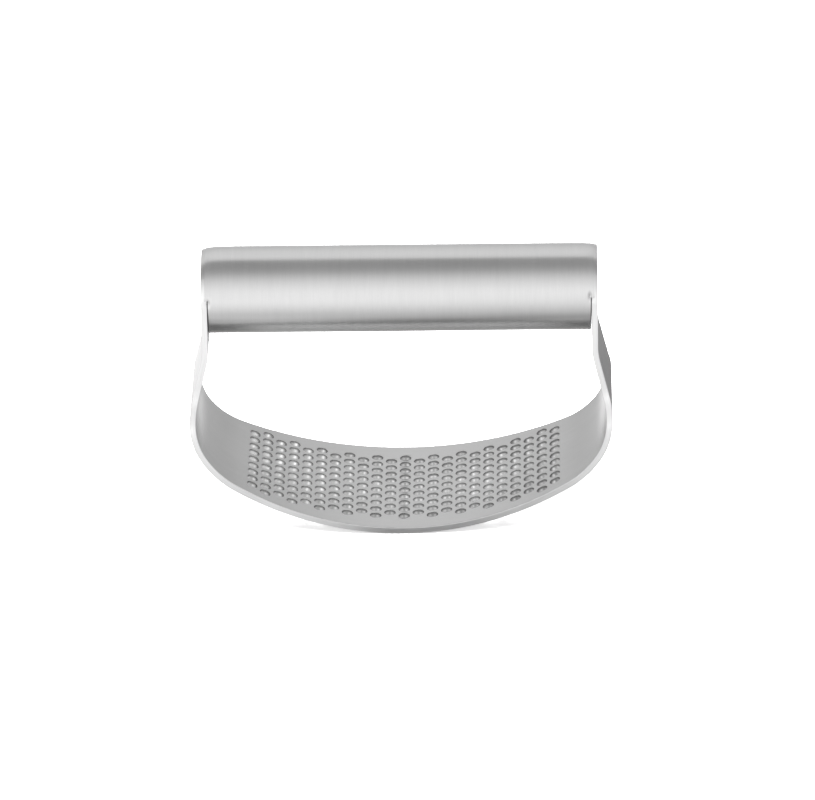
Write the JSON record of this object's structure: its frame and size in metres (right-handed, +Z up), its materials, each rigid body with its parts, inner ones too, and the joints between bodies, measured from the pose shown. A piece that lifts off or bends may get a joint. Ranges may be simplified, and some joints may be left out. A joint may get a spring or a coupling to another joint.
{
  "type": "rocker garlic press",
  "caption": "Hand-held rocker garlic press: a perforated, curved steel band hung by two flared arms from a straight tubular handle.",
  "frame": {"origin": "on the ground under the middle of the curved band, where the press stands; the centre of the base of its bounding box", "axes": "+X along the tubular handle, +Y across the band, +Z up from the band to the handle"},
  "size_m": [0.1216, 0.052, 0.0785],
  "materials": {
    "plate_steel": "satin, fine-grained stainless steel",
    "tube_steel": "stainless steel brushed round the tube",
    "weld_steel": "weld metal ground flush and brushed"
  },
  "bodies": {
    "root": {"rocker_plate": "plate_steel", "handle_tube": "tube_steel", "left_end_weld": "weld_steel", "right_end_weld": "weld_steel"}
  },
  "joints": []
}
